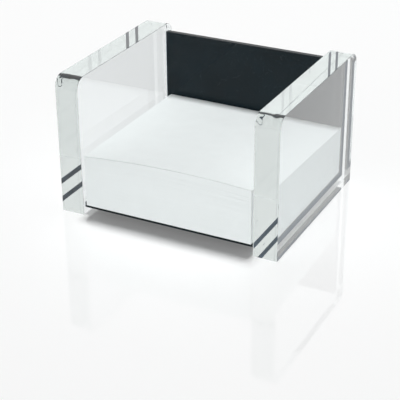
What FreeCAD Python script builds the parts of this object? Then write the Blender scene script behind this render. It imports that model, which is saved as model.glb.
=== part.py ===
"""Open memo box for loose note sheets, in millimetres.

Two thick clear side blocks stand on the desk. A black base panel and a black back panel are bonded
between their inner faces, so the box is open at the top and at the front. A pile of loose square
sheets lies on the base panel, curled up a little along its front edge. The uppermost sheet is a
piece of its own.

Frame: +X to the right, +Y to the back, +Z up. The origin is on the desk, in the middle of the
rectangle that the box and its sheets cover.
"""
import FreeCAD, Part
import os

from FreeCAD import Vector

os.makedirs("parts", exist_ok=True)

# Note sheets: the box is made to hold them
sheet_width = 90.0           # and depth: the sheets are square
side_play = 1.5              # room at each side of the pile
back_play = 0.2              # room between the pile and the back panel
front_overhang = 1.0         # the pile's front stands this far out of the side blocks
sheet_thickness = 0.1
top_sheet_gap = 0.15         # air under the uppermost sheet, which lies loose

# Side blocks
block_thickness = 12.5
block_height = 72.3
block_corner_radius = 6.0    # upper front and upper back corners
block_edge_ease = 0.2        # small polished flat along every edge

# Black panels
base_thickness = 3.0
base_underside = 3.6         # height of the base panel's underside above the desk
base_front_setback = 1.8     # from the front of the side blocks
back_thickness = 3.0
back_inset = 3.6             # from the back of the side blocks to the back panel
back_drop = 4.1              # from the top of the side blocks down to the top of the back panel
panel_edge_ease = 0.3

# Pile of sheets under the uppermost one
pile_height = 25.9           # at its back left corner, where the sheets lie flat
back_right_fall = 0.7        # its other corners, against that one
front_left_rise = 0.7
front_right_rise = 2.2
back_crown = 0.15            # middle of the back edge, above a straight line between its corners
front_crown = 1.9            # the same at the front edge
foot_shift_share = 0.3       # the pile lies to the right by these shares of its room at one side:
top_shift_share = 0.63       # its foot and its uppermost sheet

# What follows from these sizes
inner_width = sheet_width + 2 * side_play
half_inner = inner_width / 2
inner_depth = sheet_width - front_overhang + back_play
block_depth = inner_depth + back_thickness + back_inset
front_y = (front_overhang - block_depth) / 2
back_y = front_y + block_depth
back_panel_y = front_y + inner_depth
base_top = base_underside + base_thickness
back_panel_top = block_height - back_drop
pile_front_y = front_y - front_overhang
pile_back_y = pile_front_y + sheet_width
foot_shift = foot_shift_share * side_play
top_shift = top_shift_share * side_play
pile_top = base_top + pile_height


def box(low, high):
    """Box between its lowest and highest corners."""
    size = high - low
    return Part.makeBox(size.x, size.y, size.z, low)


def line(start, end):
    return Part.LineSegment(start, end).toShape()


def arc(start, middle, end):
    return Part.Arc(start, middle, end).toShape()


def block_outline(x):
    """Side view of a block at one x: a rectangle whose two upper corners are round."""
    radius = block_corner_radius
    corner_inset = radius * (1 - 0.5 ** 0.5)
    arc_start_z = block_height - radius
    arc_middle_z = block_height - corner_inset
    foot_front = Vector(x, front_y, 0)
    foot_back = Vector(x, back_y, 0)
    back_low = Vector(x, back_y, arc_start_z)
    back_middle = Vector(x, back_y - corner_inset, arc_middle_z)
    back_high = Vector(x, back_y - radius, block_height)
    front_high = Vector(x, front_y + radius, block_height)
    front_middle = Vector(x, front_y + corner_inset, arc_middle_z)
    front_low = Vector(x, front_y, arc_start_z)
    edges = [
        line(foot_front, foot_back),
        line(foot_back, back_low),
        arc(back_low, back_middle, back_high),
        line(back_high, front_high),
        arc(front_high, front_middle, front_low),
        line(front_low, foot_front),
    ]
    return Part.Face(Part.Wire(edges))


def side_block(inner_x, outward):
    """Thick clear block with eased edges. Its inner face is at inner_x; outward is 1 or -1."""
    solid = block_outline(inner_x).extrude(Vector(outward * block_thickness, 0, 0))
    return solid.makeChamfer(block_edge_ease, solid.Edges)


def front_view_edges(solid, y, z):
    """Edges of a panel that run along X through one place in the side view."""
    found = []
    for edge in solid.Edges:
        offsets = [Vector(0, vertex.Y - y, vertex.Z - z).Length for vertex in edge.Vertexes]
        if max(offsets) < panel_edge_ease:
            found.append(edge)
    return found


def base_panel():
    """Black base between the blocks, from near their front to the back panel, its front edges eased."""
    panel_front = front_y + base_front_setback
    low = Vector(-half_inner, panel_front, base_underside)
    high = Vector(half_inner, back_panel_y, base_top)
    solid = box(low, high)
    edges = front_view_edges(solid, panel_front, base_underside)
    edges += front_view_edges(solid, panel_front, base_top)
    return solid.makeChamfer(panel_edge_ease, edges)


def back_panel():
    """Black back between the blocks, down to the base's underside, its top edges eased."""
    far_y = back_panel_y + back_thickness
    low = Vector(-half_inner, back_panel_y, base_underside)
    high = Vector(half_inner, far_y, back_panel_top)
    solid = box(low, high)
    edges = front_view_edges(solid, back_panel_y, back_panel_top)
    edges += front_view_edges(solid, far_y, back_panel_top)
    return solid.makeChamfer(panel_edge_ease, edges)


def top_edges():
    """Front and back top edges of the pile: y, height at the left, height at the right, crown."""
    front = (pile_front_y, pile_top + front_left_rise, pile_top + front_right_rise, front_crown)
    back = (pile_back_y, pile_top, pile_top - back_right_fall, back_crown)
    return front, back


def crowned_edge(y, left, right, crown, rise):
    """One top edge of the pile, lifted by rise: an arc from its right corner to its left one."""
    half = sheet_width / 2
    right_corner = Vector(top_shift + half, y, right + rise)
    middle = Vector(top_shift, y, (left + right) / 2 + crown + rise)
    left_corner = Vector(top_shift - half, y, left + rise)
    return arc(right_corner, middle, left_corner)


def closed_section(upper, lower):
    """Closed outline from an upper and a lower edge, which both run from right to left."""
    left_side = line(upper.Vertexes[-1].Point, lower.Vertexes[-1].Point)
    right_side = line(lower.Vertexes[0].Point, upper.Vertexes[0].Point)
    return Part.Wire([upper, left_side, lower, right_side])


def memo_pile():
    """Pile of sheets under the uppermost one. It leans to the right from its foot to its top."""
    left_foot = foot_shift - sheet_width / 2
    right_foot = foot_shift + sheet_width / 2
    sections = []
    for y, left, right, crown in top_edges():
        foot = line(Vector(right_foot, y, base_top), Vector(left_foot, y, base_top))
        sections.append(closed_section(crowned_edge(y, left, right, crown, 0), foot))
    return Part.makeLoft(sections, True, True)


def top_sheet():
    """Uppermost sheet, which follows the pile's top just above it."""
    sections = []
    for y, left, right, crown in top_edges():
        upper = crowned_edge(y, left, right, crown, top_sheet_gap + sheet_thickness)
        lower = crowned_edge(y, left, right, crown, top_sheet_gap)
        sections.append(closed_section(upper, lower))
    return Part.makeLoft(sections, True, True)


pieces = {
    "left_side_block": side_block(-half_inner, -1),
    "right_side_block": side_block(half_inner, 1),
    "base_panel": base_panel(),
    "back_panel": back_panel(),
    "memo_pile": memo_pile(),
    "top_sheet": top_sheet(),
}

for name, shape in pieces.items():
    shape.exportStep(os.path.join("parts", name + ".step"))
    print(name, "volume", round(shape.Volume, 2), "solids", len(shape.Solids), "valid", shape.isValid())
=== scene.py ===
"""Open memo box: two clear side blocks, black base and back panels, and a pile of loose note sheets.

Each piece is made by an operator of its own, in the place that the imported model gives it. Lengths
are in metres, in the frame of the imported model: +X to the right, +Y to the back, +Z up.
"""
from math import cos, pi, radians, sin

import bmesh
import bpy
from bpy.props import FloatProperty, FloatVectorProperty, IntProperty, PointerProperty
from mathutils import Matrix, Vector


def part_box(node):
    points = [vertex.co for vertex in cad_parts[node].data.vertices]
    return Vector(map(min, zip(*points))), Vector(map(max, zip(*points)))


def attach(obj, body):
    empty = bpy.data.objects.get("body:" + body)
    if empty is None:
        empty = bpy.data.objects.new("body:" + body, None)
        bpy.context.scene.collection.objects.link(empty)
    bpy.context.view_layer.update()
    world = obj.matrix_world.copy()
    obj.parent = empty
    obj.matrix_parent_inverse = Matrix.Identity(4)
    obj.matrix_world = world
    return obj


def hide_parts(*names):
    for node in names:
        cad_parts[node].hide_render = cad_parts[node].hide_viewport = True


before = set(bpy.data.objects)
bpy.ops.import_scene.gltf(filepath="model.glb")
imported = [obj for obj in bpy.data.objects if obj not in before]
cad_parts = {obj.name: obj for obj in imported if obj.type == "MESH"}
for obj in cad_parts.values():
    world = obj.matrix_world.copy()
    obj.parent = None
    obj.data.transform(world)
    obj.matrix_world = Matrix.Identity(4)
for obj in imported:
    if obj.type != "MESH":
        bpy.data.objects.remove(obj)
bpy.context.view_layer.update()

bl_info = {
    "name": "Memo box",
    "version": (1, 0, 0),
    "blender": (4, 5, 0),
    "location": "3D View > Sidebar > Memo box",
    "description": "Dresses the packed memo box with its pieces, finishes and studio stage",
    "category": "Object",
}

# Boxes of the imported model's nodes: lowest and highest corner of each
LEFT_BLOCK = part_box("left_side_block")
RIGHT_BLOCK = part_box("right_side_block")
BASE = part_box("base_panel")
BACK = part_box("back_panel")
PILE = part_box("memo_pile")
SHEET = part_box("top_sheet")

# Sizes and steps of the meshes
FLAT_AREA = 0.00002            # square metres: faces larger than this are flat, and are shaded so
MERGE_DISTANCE = 0.0000001     # points closer than this become one
PANEL_CORNER_STEPS = 4         # faces round each eased corner of a panel
PANEL_END_DEPTH = 0.0002       # the bonded look takes up the last of a panel, this far from its end
SHEET_THICKNESS = 0.0001
SHEET_STEPS = 36               # faces along each side of the uppermost sheet
SHEET_FILL = 0.93              # share of a sheet's layer in the pile that the sheet fills
FLOOR_STEPS = 8
FLOOR_DROP = 0.00002           # the floor lies this little under the blocks' feet

# Numbers of the finishes
ACRYLIC_IOR = 1.49
INNER_FACE_MARGIN = 0.0003     # a block's coat begins this far out from its inner face
ROUND_SHARE = 0.97             # of a corner's radius: what lies further out is its round surface
EASE_SHARE = 0.4               # of a corner's radius: over this length the wavy polish sets in
WAVE_HEIGHT = 1.8              # of the polish on the corners, times the distance of the bump
SIDE_FALL = 0.15               # its fall at a block's two sides, in the same measure

# Places of the lamps and the camera
LAMP_TARGET = Vector((0.0, 0.0, 0.02))
KEY_PLACE = Vector((0.0, 0.3, 2.5))
KEY_WIDTH = 0.45
FILL_PLACE = Vector((1.1, -2.01, 0.6))
FILL_WIDTH = 1.4
CAMERA_TARGET = Vector((-0.005675, 0.0005, -0.004595))
CAMERA_DISTANCE = 0.62359
CAMERA_AZIMUTH = radians(27.166)       # from straight in front, round to the right
CAMERA_ELEVATION = radians(27.547)
CAMERA_ROLL = radians(-0.437)
CAMERA_LENS = 107.6                    # millimetres, as the sensor's width is
CAMERA_SENSOR = 36.0


# Settings

class BlockSettings(bpy.types.PropertyGroup):
    corner_radius: FloatProperty(
        name="Corner radius", description="Round of the upper front and upper back corners",
        default=0.006, min=0.001, max=0.03, unit="LENGTH", precision=4)
    edge_ease: FloatProperty(
        name="Edge ease", description="Width of the polished flat along every edge",
        default=0.0001, min=0.00005, max=0.002, unit="LENGTH", precision=5)
    arc_steps: IntProperty(
        name="Arc steps", description="Faces round each corner", default=40, min=6, max=96)
    tint: FloatVectorProperty(
        name="Tint", description="Colour of white light after it has passed through a block",
        default=(0.945, 0.963, 0.972), size=3, min=0, max=1, subtype="COLOR")
    depth_colour: FloatVectorProperty(
        name="Depth colour", description="Colour that light takes on along its way inside a block",
        default=(0.765, 0.80, 0.78), size=3, min=0, max=1, subtype="COLOR")
    depth_density: FloatProperty(
        name="Depth density", description="How fast light takes on the depth colour, per metre",
        default=13.0, min=0, max=200)


class PanelSettings(bpy.types.PropertyGroup):
    bond_depth: FloatProperty(
        name="Bond depth", description="How far a panel's ends reach into the clear blocks",
        default=0.0001, min=0.00002, max=0.0005, unit="LENGTH", precision=5)
    edge_ease: FloatProperty(
        name="Edge ease", description="Rounding of the panels' exposed long edges",
        default=0.0003, min=0.00005, max=0.001, unit="LENGTH", precision=5)
    colour: FloatVectorProperty(
        name="Colour", description="Body colour of the black acrylic",
        default=(0.001, 0.006, 0.009), size=3, min=0, max=1, subtype="COLOR")


class SheetSettings(bpy.types.PropertyGroup):
    count: IntProperty(
        name="Sheets", description="Sheets in the pile under the uppermost one",
        default=259, min=10, max=500)
    width: FloatProperty(
        name="Sheet width", description="Side of the square sheets",
        default=0.09, min=0.05, max=0.12, unit="LENGTH", precision=4)
    height: FloatProperty(
        name="Height",
        description="Height of the pile under the uppermost sheet, at its back left corner",
        default=0.0259, min=0.001, max=0.06, unit="LENGTH", precision=4)
    front_left_rise: FloatProperty(
        name="Front left rise", description="Front left corner of the top above the back left one",
        default=0.0007, min=0, max=0.01, unit="LENGTH", precision=4)
    front_right_rise: FloatProperty(
        name="Front right rise", description="Front right corner above the back left one",
        default=0.0022, min=0, max=0.01, unit="LENGTH", precision=4)
    back_right_fall: FloatProperty(
        name="Back right fall", description="Back right corner below the back left one",
        default=0.0007, min=0, max=0.01, unit="LENGTH", precision=4)
    front_crown: FloatProperty(
        name="Front crown", description="Middle of the front edge above the line between its corners",
        default=0.0019, min=0, max=0.01, unit="LENGTH", precision=4)
    back_crown: FloatProperty(
        name="Back crown", description="Middle of the back edge above the line between its corners",
        default=0.00015, min=0, max=0.01, unit="LENGTH", precision=5)
    stray: FloatProperty(
        name="Stray", description="How far the edge of a loose sheet may lie from its neighbours'",
        default=0.00006, min=0, max=0.001, unit="LENGTH", precision=5)
    seed: IntProperty(
        name="Seed", description="Seed of the sheets' small offsets", default=11, min=0)
    colour: FloatVectorProperty(
        name="Colour", description="Colour of the paper",
        default=(0.745, 0.783, 0.783), size=3, min=0, max=1, subtype="COLOR")


class StageSettings(bpy.types.PropertyGroup):
    floor_reach: FloatProperty(
        name="Floor reach", description="Half the width of the floor",
        default=6.0, min=0.5, max=50, unit="LENGTH")
    floor_colour: FloatVectorProperty(
        name="Floor colour", description="Colour of the floor",
        default=(0.92, 0.925, 0.925), size=3, min=0, max=1, subtype="COLOR")
    floor_lift: FloatProperty(
        name="Floor lift", description="What the floor adds where it is seen, so that it reads white",
        default=0.172, min=0, max=1)
    sky: FloatProperty(
        name="Sky", description="Strength of the even white light from all round",
        default=0.1, min=0, max=2)
    key: FloatProperty(
        name="Key lamp", description="Share of the light on the floor that comes from the lamp above",
        default=0.71, min=0, max=2)
    fill: FloatProperty(
        name="Fill lamp", description="Strength of the broad low lamp, on a face turned to it",
        default=0.95, min=0, max=2)


# Node expressions

class Wire:
    """Output of a node that can stand in a Python expression."""

    def __init__(self, graph, socket):
        self.graph = graph
        self.socket = socket

    def __add__(self, other):
        return self.graph.math("ADD", self, other)

    def __radd__(self, other):
        return self.graph.math("ADD", other, self)

    def __sub__(self, other):
        return self.graph.math("SUBTRACT", self, other)

    def __rsub__(self, other):
        return self.graph.math("SUBTRACT", other, self)

    def __mul__(self, other):
        return self.graph.math("MULTIPLY", self, other)

    def __rmul__(self, other):
        return self.graph.math("MULTIPLY", other, self)

    def __truediv__(self, other):
        return self.graph.math("DIVIDE", self, other)

    def __gt__(self, other):
        return self.graph.math("GREATER_THAN", self, other)


class Graph:
    """Node tree that is filled by expressions."""

    def __init__(self, tree):
        self.tree = tree
        tree.nodes.clear()

    def node(self, kind, settings=None, values=None, output=0):
        """Adds a node, sets it up, gives its sockets values or links, and returns one output."""
        made = self.tree.nodes.new(kind)
        for name, value in (settings or {}).items():
            setattr(made, name, value)
        for name, value in (values or {}).items():
            socket = made.inputs[name]
            if isinstance(value, Wire):
                self.tree.links.new(value.socket, socket)
            else:
                socket.default_value = value
        return Wire(self, made.outputs[output]) if made.outputs else made

    def math(self, operation, first, second):
        return self.node("ShaderNodeMath", {"operation": operation}, {0: first, 1: second})

    def absolute(self, value):
        return self.node("ShaderNodeMath", {"operation": "ABSOLUTE"}, {0: value})

    def separated(self, vector):
        """The three numbers of a vector."""
        split = self.tree.nodes.new("ShaderNodeSeparateXYZ")
        self.tree.links.new(vector.socket, split.inputs[0])
        return [Wire(self, socket) for socket in split.outputs]

    def object_place(self):
        """Place on the object, in its own frame."""
        return self.node("ShaderNodeTexCoord", output="Object")

    def noise(self, place, scale, detail=2.0, roughness=0.5):
        values = {"Vector": place, "Scale": scale, "Detail": detail, "Roughness": roughness}
        return self.node("ShaderNodeTexNoise", values=values)

    def stretched(self, place, scale, rotation=(0, 0, 0)):
        values = {"Vector": place, "Rotation": rotation, "Scale": scale}
        return self.node("ShaderNodeMapping", values=values)

    def fitted(self, value, from_low, from_high, to_low=0.0, to_high=1.0):
        """Value carried from one range to another, and held inside it."""
        values = {"Value": value, "From Min": from_low, "From Max": from_high,
                  "To Min": to_low, "To Max": to_high}
        return self.node("ShaderNodeMapRange", {"clamp": True}, values)

    def mixed(self, factor, first, second):
        """Colour between two others. Sockets 6 and 7 and output 2 are the node's colour ones."""
        values = {"Factor": factor, 6: first, 7: second}
        return self.node("ShaderNodeMix", {"data_type": "RGBA"}, values, output=2)

    def bump(self, height, strength, distance):
        values = {"Height": height, "Strength": strength, "Distance": distance}
        return self.node("ShaderNodeBump", values=values)


def rgba(colour, factor=1.0):
    return (colour[0] * factor, colour[1] * factor, colour[2] * factor, 1.0)


def grey(value):
    return (value, value, value, 1.0)


def new_material(name, viewport_colour):
    material = bpy.data.materials.new(name)
    material.use_nodes = True
    material.diffuse_color = viewport_colour
    return material, Graph(material.node_tree)


def finish_material(graph, values, volume=None):
    """Ends a material in a Principled shader with the given values, and a volume if it has one."""
    ends = {"Surface": graph.node("ShaderNodeBsdfPrincipled", values=values)}
    if volume:
        ends["Volume"] = volume
    graph.node("ShaderNodeOutputMaterial", values=ends)


# Finishes

def clear_acrylic(settings):
    """Clear cast acrylic, polished on every face, with wavy polish on its round corners."""
    tint = settings.tint
    material, graph = new_material("clear acrylic", rgba(tint))
    place = graph.object_place()
    cloud = graph.noise(place, scale=60.0)
    wipe_place = graph.stretched(place, (1.0, 0.12, 1.0), rotation=(0.5, 0.1, 0.0))
    wipe = graph.noise(wipe_place, scale=2400.0, detail=1.0)
    marks = graph.fitted(wipe, 0.66, 0.8) * graph.fitted(cloud, 0.45, 0.65)
    across, depth, height = graph.separated(place)
    outward = graph.absolute(across)
    relief = graph.noise(place, scale=22.0, detail=1.0) * 0.006
    relief = relief + corner_polish(graph, settings, place, outward, depth, height)
    inside = graph.node("ShaderNodeNewGeometry", output="Backfacing")
    inner_face = -LEFT_BLOCK[1].x
    values = {
        "Base Color": graph.mixed(graph.fitted(cloud, 0.3, 0.7), rgba(tint, 0.994), rgba(tint)),
        "Roughness": 0.002 + marks * 0.004,
        "IOR": ACRYLIC_IOR,
        "Transmission Weight": 1.0,
        "Coat Weight": 0.6 * (1 - inside) * (outward > inner_face + INNER_FACE_MARGIN),
        "Coat Roughness": 0.01,
        "Coat IOR": 1.5,
        "Normal": graph.bump(relief, strength=1.0, distance=0.0006),
    }
    depth_values = {"Color": rgba(settings.depth_colour), "Density": settings.depth_density}
    finish_material(graph, values, graph.node("ShaderNodeVolumeAbsorption", values=depth_values))
    return material


def corner_polish(graph, settings, place, outward, depth, height):
    """Relief that hand polishing leaves on the round corners: wavy, and lower towards both sides."""
    low, high = LEFT_BLOCK
    radius = settings.corner_radius
    start = (high.y - low.y) / 2 - radius
    past_y = graph.absolute(depth - (low.y + high.y) / 2) - start
    past_z = height - (high.z - radius)
    on_round = (past_y * past_y + past_z * past_z) > (radius * ROUND_SHARE) ** 2
    ease = radius * EASE_SHARE
    eased_in = graph.fitted(past_y, 0.0, ease) * graph.fitted(past_z, 0.0, ease)
    waves = graph.noise(place, scale=170.0, detail=1.0) - 0.5
    middle = -(low.x + high.x) / 2
    aside = (outward - middle) / ((high.x - low.x) / 2)
    fall = aside * aside * aside * aside
    return (waves * WAVE_HEIGHT - fall * SIDE_FALL) * on_round * eased_in


def black_acrylic(colour):
    """Black acrylic with a high gloss, a little dust and fine wipe marks."""
    material, graph = new_material("black acrylic", rgba(colour))
    place = graph.object_place()
    cloud = graph.noise(place, scale=45.0, detail=3.0)
    wipe_place = graph.stretched(place, (0.08, 1.0, 1.0), rotation=(0.0, 0.35, 0.0))
    wipe = graph.noise(wipe_place, scale=2600.0)
    dust = graph.fitted(graph.noise(place, scale=1900.0, detail=1.0), 0.72, 0.8)
    marks = graph.fitted(wipe, 0.58, 0.78) * graph.fitted(cloud, 0.4, 0.65, 0.2, 1.0)
    body = graph.mixed(graph.fitted(cloud, 0.35, 0.65), rgba(colour, 0.8), rgba(colour, 1.2))
    waves = graph.noise(place, scale=30.0, detail=1.0)
    values = {
        "Base Color": graph.mixed(dust * 0.25, body, (0.2, 0.21, 0.22, 1.0)),
        "Roughness": 0.03 + marks * 0.06 + dust * 0.2,
        "IOR": ACRYLIC_IOR,
        "Specular IOR Level": 0.25,
        "Normal": graph.bump(waves, strength=0.02, distance=0.0004),
    }
    finish_material(graph, values)
    return material


def bonded_acrylic(colour):
    """Ends of the black panels under their clear bond, with no gloss of their own, and a bluish grey
    painted reflection over their black.
    """
    material, graph = new_material("bonded black edge with painted reflection", rgba(colour))
    cloud = graph.noise(graph.object_place(), scale=500.0)
    values = {
        # painted reflection: the bluish grey, lighter than the black body, stands in for the light
        # given back at the bond
        "Base Color": graph.mixed(cloud, (0.036, 0.06, 0.085, 1.0), (0.055, 0.085, 0.12, 1.0)),
        "Roughness": 0.6 + cloud * 0.2,
        "Specular IOR Level": 0.0,
    }
    finish_material(graph, values)
    return material


def white_paper(name, colour, layered):
    """Uncoated white paper. A layered one shows the fine lines of the sheets' cut edges."""
    material, graph = new_material(name, rgba(colour))
    place = graph.object_place()
    fibre_place = graph.stretched(place, (1.0, 0.35, 1.0), rotation=(0.0, 0.0, 0.4))
    fibre = graph.noise(fibre_place, scale=3800.0, detail=3.0, roughness=0.6)
    cloud = graph.noise(place, scale=140.0, detail=3.0)
    tone = graph.fitted(fibre, 0.3, 0.7, 0.0, 0.6) + graph.fitted(cloud, 0.3, 0.7, 0.0, 0.4)
    height = fibre
    if layered:
        layer_place = graph.stretched(place, (0.01, 0.01, 1.0))
        layers = graph.noise(layer_place, scale=5200.0, detail=3.0, roughness=0.7)
        tone = tone * 0.6 + graph.fitted(layers, 0.3, 0.7, 0.0, 0.4)
        height = fibre * 0.5 + layers * 0.5
    values = {
        "Base Color": graph.mixed(tone, rgba(colour, 0.965), rgba(colour, 1.02)),
        "Roughness": graph.fitted(fibre, 0.3, 0.7, 0.82, 0.95),
        "Specular IOR Level": 0.25,
        "Normal": graph.bump(height, strength=0.25, distance=0.00003),
    }
    finish_material(graph, values)
    return material


# Meshes

def quarter_turns(steps):
    """Cosine and sine at even steps over a quarter of a turn."""
    turns = [pi / 2 * step / steps for step in range(steps + 1)]
    return [(cos(turn), sin(turn)) for turn in turns]


def ring_loft(rings):
    """Mesh through rings of equally many points, closed by a face at both ends."""
    mesh = bmesh.new()
    made = [[mesh.verts.new(point) for point in ring] for ring in rings]
    count = len(made[0])
    for near, far in zip(made, made[1:]):
        for index in range(count):
            following = (index + 1) % count
            mesh.faces.new((near[index], near[following], far[following], far[index]))
    mesh.faces.new(made[0])
    mesh.faces.new(made[-1])
    bmesh.ops.remove_doubles(mesh, verts=mesh.verts, dist=MERGE_DISTANCE)
    bmesh.ops.recalc_face_normals(mesh, faces=mesh.faces)
    return mesh


def block_profile(low, high, radius, ease, steps):
    """Side view of a block: each point's y and z, and the way out of the block there."""
    profile = [(low.y + ease, low.z, 0.0, -1.0), (low.y, low.z + ease, -1.0, 0.0)]
    arc_z = high.z - radius
    for along, up in quarter_turns(steps):
        profile.append((low.y + radius - radius * along, arc_z + radius * up, -along, up))
    for up, along in quarter_turns(steps):
        profile.append((high.y - radius + radius * along, arc_z + radius * up, along, up))
    profile += [(high.y, low.z + ease, 1.0, 0.0), (high.y - ease, low.z, 0.0, -1.0)]
    return profile


def block_mesh(low, high, settings):
    """Solid block whose upper corners are round and whose edges are all eased by a small flat."""
    ease = settings.edge_ease
    profile = block_profile(low, high, settings.corner_radius, ease, settings.arc_steps)
    places = ((low.x, ease), (low.x + ease, 0.0), (high.x - ease, 0.0), (high.x, ease))
    rings = []
    for x, inset in places:
        rings.append([(x, y - out_y * inset, z - out_z * inset) for y, z, out_y, out_z in profile])
    return ring_loft(rings)


def panel_profile(low, high, ease, rounded):
    """Side view of a panel. The corners named in rounded are eased by a small arc."""
    corners = (("front low", low.y, low.z, -1, -1), ("front high", low.y, high.z, -1, 1),
               ("back high", high.y, high.z, 1, 1), ("back low", high.y, low.z, 1, -1))
    profile = []
    for name, y, z, side_y, side_z in corners:
        arc = [(y, z)]
        if name in rounded:
            arc = [(y - side_y * ease * (1 - along), z - side_z * ease * (1 - up))
                   for along, up in quarter_turns(PANEL_CORNER_STEPS)]
        profile += arc if side_y * side_z < 0 else arc[::-1]
    return profile


def panel_mesh(low, high, bond, profile):
    """Panel that runs along X, with ends that reach a little into the clear blocks."""
    left_cut = low.x + PANEL_END_DEPTH
    right_cut = high.x - PANEL_END_DEPTH
    ends = (low.x - bond, left_cut, right_cut, high.x + bond)
    mesh = ring_loft([[(x, y, z) for y, z in profile] for x in ends])
    for face in mesh.faces:
        if abs(face.calc_center_median().x) > right_cut:
            face.material_index = 1
    return mesh


def curl_sizes(settings):
    """Sizes of the pile's curl, by the names of the pile tree's inputs."""
    return {
        "Front left rise": settings.front_left_rise,
        "Front right rise": settings.front_right_rise,
        "Back right fall": settings.back_right_fall,
        "Front crown": settings.front_crown,
        "Back crown": settings.back_crown,
    }


def edge_rises(curl, x_share):
    """Heights of the pile's front and back top edges above its back left corner.

    The share runs from left to right. Numbers and node outputs are both taken.
    """
    front = curl["Front left rise"] + (curl["Front right rise"] - curl["Front left rise"]) * x_share
    front = front + curl["Front crown"] * 4 * x_share * (1 - x_share)
    back = curl["Back crown"] * 4 * x_share * (1 - x_share) - curl["Back right fall"] * x_share
    return front, back


def sheet_mesh(settings):
    """Thin curved sheet, a little proud of the pile's top. Its back right corner is its lowest."""
    low, high = SHEET
    curl = curl_sizes(settings)
    back_left = low.z + settings.back_right_fall
    points = []
    for iy in range(SHEET_STEPS + 1):
        y_share = iy / SHEET_STEPS
        y = low.y + (high.y - low.y) * y_share
        for ix in range(SHEET_STEPS + 1):
            x_share = ix / SHEET_STEPS
            x = low.x + (high.x - low.x) * x_share
            front, back = edge_rises(curl, x_share)
            points.append((x, y, back_left + (front + (back - front) * y_share)))
    mesh = bmesh.new()
    lower = [mesh.verts.new(point) for point in points]
    upper = [mesh.verts.new((x, y, z + SHEET_THICKNESS)) for x, y, z in points]
    width = SHEET_STEPS + 1
    for iy in range(SHEET_STEPS):
        for ix in range(SHEET_STEPS):
            near = iy * width + ix
            far = near + width
            mesh.faces.new((upper[near], upper[near + 1], upper[far + 1], upper[far]))
            mesh.faces.new((lower[near], lower[far], lower[far + 1], lower[near + 1]))
    for run in border_runs(SHEET_STEPS):
        for first, second in zip(run, run[1:]):
            mesh.faces.new((lower[first], lower[second], upper[second], upper[first]))
    bmesh.ops.recalc_face_normals(mesh, faces=mesh.faces)
    return mesh


def border_runs(steps):
    """Numbers of a square grid's border points, one run for each side."""
    width = steps + 1
    front = list(range(width))
    right = [index * width + steps for index in range(width)]
    back = [steps * width + index for index in range(steps, -1, -1)]
    left = [index * width for index in range(steps, -1, -1)]
    return front, right, back, left


def mesh_data(name, mesh, materials):
    """Blender mesh from a bmesh, which is freed, with its materials."""
    data = bpy.data.meshes.new(name)
    mesh.to_mesh(data)
    mesh.free()
    for material in materials:
        data.materials.append(material)
    return data


def finished_piece(name, mesh, materials, body, node, smooth_angle):
    """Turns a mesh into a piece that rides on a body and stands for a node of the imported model."""
    data = mesh_data(name, mesh, materials)
    data.set_sharp_from_angle(angle=smooth_angle)
    for face in data.polygons:    # comes after the sharp edges, which set all faces anew
        face.use_smooth = face.area < FLAT_AREA
    piece = bpy.data.objects.new(name, data)
    bpy.context.scene.collection.objects.link(piece)
    declare(piece, body, node)
    return piece


def declare(piece, body, node):
    """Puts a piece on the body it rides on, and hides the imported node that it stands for."""
    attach(piece, body)
    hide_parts(node)


# Pile of sheets, by geometry nodes

PILE_INPUTS = (
    ("Sheets", "NodeSocketInt"),
    ("Width", "NodeSocketFloat"),
    ("Left edge", "NodeSocketFloat"),
    ("Front edge", "NodeSocketFloat"),
    ("Foot", "NodeSocketFloat"),
    ("Height", "NodeSocketFloat"),
    ("Front left rise", "NodeSocketFloat"),
    ("Front right rise", "NodeSocketFloat"),
    ("Back right fall", "NodeSocketFloat"),
    ("Front crown", "NodeSocketFloat"),
    ("Back crown", "NodeSocketFloat"),
    ("Stray", "NodeSocketFloat"),
    ("Seed", "NodeSocketInt"),
    ("Paper", "NodeSocketMaterial"),
)


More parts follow.
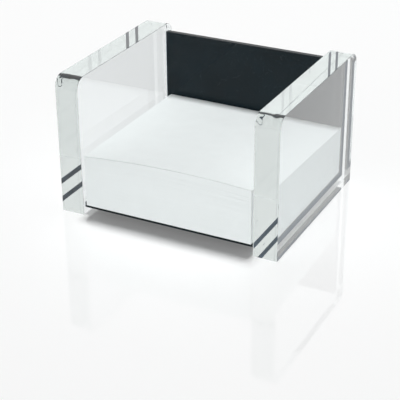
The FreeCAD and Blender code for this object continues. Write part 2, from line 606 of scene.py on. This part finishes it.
def pile_tree():
    """Node tree for a pile of loose sheets that curl up along the front edge."""
    tree = bpy.data.node_groups.new("sheet pile", "GeometryNodeTree")
    for name, kind in PILE_INPUTS:
        tree.interface.new_socket(name=name, in_out="INPUT", socket_type=kind)
    tree.interface.new_socket(name="Geometry", in_out="OUTPUT", socket_type="NodeSocketGeometry")
    graph = Graph(tree)
    entry = tree.nodes.new("NodeGroupInput")
    given = {name: Wire(graph, entry.outputs[name]) for name, kind in PILE_INPUTS}

    # One box for each sheet, which keeps its level in the pile and its random offsets
    points = graph.node("GeometryNodePoints", values={"Count": given["Sheets"]})
    number = graph.node("GeometryNodeInputIndex")
    points = stored(graph, points, "level", "FLOAT", number / given["Sheets"])
    stray_range = {0: (-1.0, -1.0, -1.0), 1: (1.0, 1.0, 1.0), "ID": number, "Seed": given["Seed"]}
    stray = graph.node("FunctionNodeRandomValue", {"data_type": "FLOAT_VECTOR"}, stray_range)
    points = stored(graph, points, "stray", "FLOAT_VECTOR", stray)
    box_values = {"Size": (1.0, 1.0, 1.0), "Vertices X": 9, "Vertices Y": 2, "Vertices Z": 2}
    sheet = graph.node("GeometryNodeMeshCube", values=box_values)
    sheets = graph.node("GeometryNodeInstanceOnPoints", values={"Points": points, "Instance": sheet})
    sheets = graph.node("GeometryNodeRealizeInstances", values={"Geometry": sheets})

    position = graph.node("GeometryNodeInputPosition")
    x_share, y_share, side = [part + 0.5 for part in graph.separated(position)]
    level = named(graph, "level", "FLOAT")
    stray_x, stray_y, stray_turn = graph.separated(named(graph, "stray", "FLOAT_VECTOR"))

    # Heights: the sheets share out the room between the flat foot and the curled top
    front, back = edge_rises(given, x_share)
    top = given["Height"] + front + (back - front) * y_share
    share = level + side * SHEET_FILL / given["Sheets"]
    height = given["Foot"] + top * share

    # Each sheet lies and turns a little apart from the others, inside the pile's outline
    stray_room = given["Stray"]
    trimmed = given["Width"] - stray_room * 2
    turn = stray_turn * stray_room * 0.5
    x = given["Left edge"] + stray_room + trimmed * x_share
    x = x + stray_x * stray_room * 0.5 + turn * (y_share * 2 - 1)
    y = given["Front edge"] + stray_room + trimmed * y_share
    y = y + stray_y * stray_room * 0.5 - turn * (x_share * 2 - 1)
    placed = graph.node("ShaderNodeCombineXYZ", values={"X": x, "Y": y, "Z": height})
    sheets = graph.node("GeometryNodeSetPosition", values={"Geometry": sheets, "Position": placed})
    paper_values = {"Geometry": sheets, "Material": given["Paper"]}
    sheets = graph.node("GeometryNodeSetMaterial", values=paper_values)
    graph.node("NodeGroupOutput", values={"Geometry": sheets})
    return tree


def stored(graph, geometry, name, kind, value):
    """Geometry whose points keep a value under a name."""
    settings = {"data_type": kind, "domain": "POINT"}
    values = {"Geometry": geometry, "Name": name, "Value": value}
    return graph.node("GeometryNodeStoreNamedAttribute", settings, values)


def named(graph, name, kind):
    """Value that was kept under a name."""
    return graph.node("GeometryNodeInputNamedAttribute", {"data_type": kind}, {"Name": name})


def set_inputs(modifier, values):
    """Gives a geometry nodes modifier its inputs by the sockets' identifiers."""
    for item in modifier.node_group.interface.items_tree:
        if item.item_type == "SOCKET" and item.in_out == "INPUT":
            modifier[item.identifier] = values[item.name]


# Stage

def make_floor(settings):
    """Pale polished floor, which shows a faint reflection of the box."""
    colour = settings.floor_colour
    material, graph = new_material("pale floor", rgba(colour))
    place = graph.object_place()
    cloud = graph.noise(place, scale=3.0)
    values = {
        "Base Color": graph.mixed(cloud, rgba(colour, 0.99), rgba(colour)),
        "Roughness": graph.fitted(graph.noise(place, scale=800.0), 0.3, 0.7, 0.02, 0.035),
        "IOR": 2.0,
        "Emission Color": graph.mixed(seen_rays(graph), grey(0.0), grey(settings.floor_lift)),
        "Emission Strength": 1.0,
    }
    finish_material(graph, values)
    mesh = bmesh.new()
    bmesh.ops.create_grid(mesh, x_segments=FLOOR_STEPS, y_segments=FLOOR_STEPS,
                          size=settings.floor_reach)
    floor = bpy.data.objects.new("floor", mesh_data("floor", mesh, [material]))
    floor.location.z = -FLOOR_DROP
    bpy.context.scene.collection.objects.link(floor)
    return floor


def seen_rays(graph):
    """1 for rays by which the camera, a gloss or a clear piece sees something, otherwise 0."""
    path = graph.tree.nodes.new("ShaderNodeLightPath")
    rays = [Wire(graph, path.outputs[name]) for name in
            ("Is Camera Ray", "Is Glossy Ray", "Is Transmission Ray")]
    return (rays[0] + rays[1] + rays[2]) > 0.5


def make_sky(settings):
    """Even surroundings: white where they are seen, and dimmer as a light."""
    world = bpy.data.worlds.new("studio")
    world.use_nodes = True
    world.cycles.sampling_method = "NONE"
    bpy.context.scene.world = world
    graph = Graph(world.node_tree)
    colour = graph.mixed(seen_rays(graph), grey(settings.sky), grey(1.0))
    surface = graph.node("ShaderNodeBackground", values={"Color": colour, "Strength": 1.0})
    graph.node("ShaderNodeOutputWorld", values={"Surface": surface})


def make_lamp(name, place, width, share):
    """Square lamp aimed at the box.

    A share of 1 lights a white face turned to it as a full white sky does.
    """
    data = bpy.data.lights.new(name, "AREA")
    data.shape = "SQUARE"
    data.size = width
    data.energy = share * pi * pi * place.length_squared
    lamp = bpy.data.objects.new(name, data)
    lamp.visible_camera = False
    lamp.visible_glossy = False
    lamp.visible_transmission = False
    aim_from(lamp, place, LAMP_TARGET, 0.0)
    bpy.context.scene.collection.objects.link(lamp)
    return lamp


def keep_off(lamp, thing):
    """Makes a lamp light everything but one thing."""
    group = bpy.data.collections.new(lamp.name + " keeps off")
    group.objects.link(thing)
    group.collection_objects[0].light_linking.link_state = "EXCLUDE"
    lamp.light_linking.receiver_collection = group


def aim_from(thing, place, target, roll):
    """Puts a lamp or camera at a place, aimed at a target and rolled about its line of sight."""
    away = (place - target).normalized()
    right = Vector((0.0, 0.0, 1.0)).cross(away).normalized()
    up = away.cross(right)
    rolled_right = right * cos(roll) + up * sin(roll)
    rolled_up = up * cos(roll) - right * sin(roll)
    axes = Matrix((rolled_right, rolled_up, away)).transposed().to_4x4()
    thing.matrix_world = Matrix.Translation(place) @ axes


def make_camera():
    """Camera at the height and side from which the photograph was taken."""
    level = cos(CAMERA_ELEVATION)
    away = Vector((sin(CAMERA_AZIMUTH) * level, -cos(CAMERA_AZIMUTH) * level, sin(CAMERA_ELEVATION)))
    data = bpy.data.cameras.new("camera")
    data.lens = CAMERA_LENS
    data.sensor_width = CAMERA_SENSOR
    data.clip_start = 0.01
    data.clip_end = 100.0
    camera = bpy.data.objects.new("camera", data)
    aim_from(camera, CAMERA_TARGET + away * CAMERA_DISTANCE, CAMERA_TARGET, CAMERA_ROLL)
    bpy.context.scene.collection.objects.link(camera)
    bpy.context.scene.camera = camera


# Operators

class MEMOBOX_OT_side_blocks(bpy.types.Operator):
    """Make the two clear side blocks"""
    bl_idname = "memobox.side_blocks"
    bl_label = "Side blocks"

    def execute(self, context):
        settings = context.scene.memobox_blocks
        acrylic = clear_acrylic(settings)
        for name, node, (low, high) in (("left_clear_block", "left_side_block", LEFT_BLOCK),
                                        ("right_clear_block", "right_side_block", RIGHT_BLOCK)):
            mesh = block_mesh(low, high, settings)
            piece = finished_piece(name, mesh, [acrylic], "holder", node,
                                   smooth_angle=radians(12))
            piece.visible_shadow = False
        return {"FINISHED"}


class MEMOBOX_OT_panels(bpy.types.Operator):
    """Make the black base panel and the black back panel"""
    bl_idname = "memobox.panels"
    bl_label = "Black panels"

    def execute(self, context):
        settings = context.scene.memobox_panels
        finishes = [black_acrylic(settings.colour), bonded_acrylic(settings.colour)]
        for name, node, (low, high), rounded in (
                ("black_base_panel", "base_panel", BASE, ("front low", "front high")),
                ("black_back_panel", "back_panel", BACK, ("front high", "back high", "back low"))):
            profile = panel_profile(low, high, settings.edge_ease, rounded)
            mesh = panel_mesh(low, high, settings.bond_depth, profile)
            finished_piece(name, mesh, finishes, "holder", node,
                           smooth_angle=radians(40))
        return {"FINISHED"}


class MEMOBOX_OT_sheet_pile(bpy.types.Operator):
    """Make the pile of loose sheets"""
    bl_idname = "memobox.sheet_pile"
    bl_label = "Sheet pile"

    def execute(self, context):
        settings = context.scene.memobox_sheets
        maker = bpy.data.objects.new("pile_maker", bpy.data.meshes.new("pile_maker"))
        context.scene.collection.objects.link(maker)
        modifier = maker.modifiers.new("pile", "NODES")
        modifier.node_group = pile_tree()
        set_inputs(modifier, {
            "Sheets": settings.count,
            "Width": settings.width,
            "Left edge": PILE[1].x - settings.width,
            "Front edge": PILE[0].y,
            "Foot": PILE[0].z,
            "Height": settings.height,
            "Stray": settings.stray,
            "Seed": settings.seed,
            "Paper": white_paper("layered paper", settings.colour, layered=True),
            **curl_sizes(settings),
        })
        depsgraph = context.evaluated_depsgraph_get()
        data = bpy.data.meshes.new_from_object(maker.evaluated_get(depsgraph))
        bpy.data.objects.remove(maker)
        data.name = "loose_sheet_pile"
        piece = bpy.data.objects.new("loose_sheet_pile", data)
        context.scene.collection.objects.link(piece)
        fewest_faces = 10 * settings.count
        if len(data.polygons) < fewest_faces:
            raise RuntimeError("the pile came out with too few faces")
        declare(piece, "pile", "memo_pile")
        return {"FINISHED"}


class MEMOBOX_OT_top_sheet(bpy.types.Operator):
    """Make the uppermost loose sheet"""
    bl_idname = "memobox.top_sheet"
    bl_label = "Uppermost sheet"

    def execute(self, context):
        settings = context.scene.memobox_sheets
        paper = white_paper("sheet paper", settings.colour, layered=False)
        finished_piece("uppermost_sheet", sheet_mesh(settings), [paper], "sheet", "top_sheet",
                       smooth_angle=radians(30))
        return {"FINISHED"}


class MEMOBOX_OT_stage(bpy.types.Operator):
    """Make the floor, the soft light and the camera"""
    bl_idname = "memobox.stage"
    bl_label = "Studio stage"

    def execute(self, context):
        settings = context.scene.memobox_stage
        floor = make_floor(settings)
        make_sky(settings)
        make_lamp("key lamp", KEY_PLACE, KEY_WIDTH, settings.key)
        fill = make_lamp("fill lamp", FILL_PLACE, FILL_WIDTH, settings.fill)
        keep_off(fill, floor)
        make_camera()
        context.scene.view_settings.view_transform = "Standard"
        cycles = context.scene.cycles
        cycles.max_bounces = 32
        cycles.transmission_bounces = 32
        cycles.glossy_bounces = 12
        cycles.transparent_max_bounces = 16
        return {"FINISHED"}


# Sidebar and registration

class MEMOBOX_PT_pieces(bpy.types.Panel):
    """Lists the operators that make the memo box"""
    bl_idname = "MEMOBOX_PT_pieces"
    bl_label = "Memo box"
    bl_space_type = "VIEW_3D"
    bl_region_type = "UI"
    bl_category = "Memo box"

    def draw(self, context):
        for operator in OPERATORS:
            self.layout.operator(operator.bl_idname)


SETTINGS = {
    "memobox_blocks": BlockSettings,
    "memobox_panels": PanelSettings,
    "memobox_sheets": SheetSettings,
    "memobox_stage": StageSettings,
}
OPERATORS = (
    MEMOBOX_OT_side_blocks,
    MEMOBOX_OT_panels,
    MEMOBOX_OT_sheet_pile,
    MEMOBOX_OT_top_sheet,
    MEMOBOX_OT_stage,
)


def register():
    for kind in (*SETTINGS.values(), *OPERATORS, MEMOBOX_PT_pieces):
        bpy.utils.register_class(kind)
    for name, kind in SETTINGS.items():
        setattr(bpy.types.Scene, name, PointerProperty(type=kind))


def unregister():
    for name in SETTINGS:
        delattr(bpy.types.Scene, name)
    for kind in (MEMOBOX_PT_pieces, *reversed(OPERATORS), *SETTINGS.values()):
        bpy.utils.unregister_class(kind)


def main():
    register()
    bpy.ops.memobox.side_blocks()
    bpy.ops.memobox.panels()
    bpy.ops.memobox.sheet_pile()
    bpy.ops.memobox.top_sheet()
    bpy.ops.memobox.stage()


if __name__ == "__main__":
    main()
